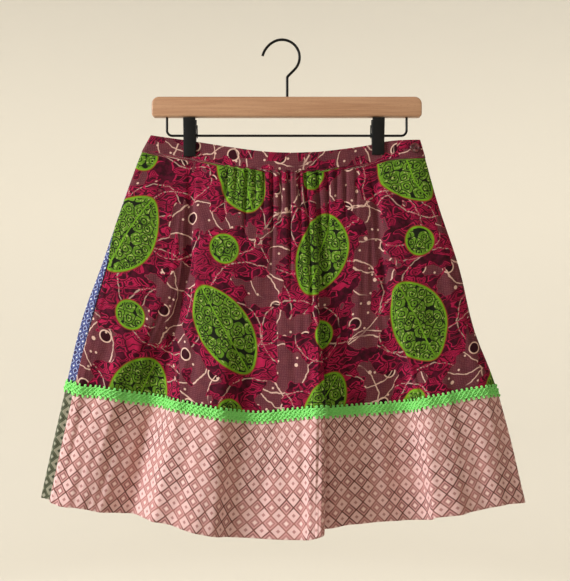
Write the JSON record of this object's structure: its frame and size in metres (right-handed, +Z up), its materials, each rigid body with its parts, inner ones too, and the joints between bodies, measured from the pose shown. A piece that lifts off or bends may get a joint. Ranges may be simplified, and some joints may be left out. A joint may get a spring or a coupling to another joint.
{
  "type": "batik skirt on clip hanger",
  "caption": "Gathered cotton batik skirt with a patterned border and braid, hanging from the clips of a wooden skirt hanger.",
  "frame": {"origin": "inside top of the hook, where it bears on a rod", "axes": "+Z up, -Y towards the skirt's front, +X to the right as seen from the front"},
  "size_m": [0.632, 0.0855, 0.6454],
  "materials": {
    "print": "printed cotton, matt",
    "back_print": "printed cotton, matt",
    "border": "printed cotton, matt",
    "back_border": "printed cotton, matt",
    "braid": "woven braid with a slight sheen",
    "button": "polished",
    "wood": "satin varnish",
    "wire": "black, satin",
    "plastic": "black, satin"
  },
  "bodies": {
    "root": {"waistband_front": "print", "waistband_back": "print", "panel_front": "print", "panel_back": "back_print", "border_front": "border", "border_back": "back_border", "braid_front": "braid", "braid_back": "braid", "waist_button": "button", "hanger_bar": "wood", "hanger_hook": "wire", "hanger_rail": "wire", "clip_left_front_jaw": "plastic", "clip_left_back_jaw": "plastic", "clip_left_spring": "wire", "clip_right_front_jaw": "plastic", "clip_right_back_jaw": "plastic", "clip_right_spring": "wire"}
  },
  "joints": []
}
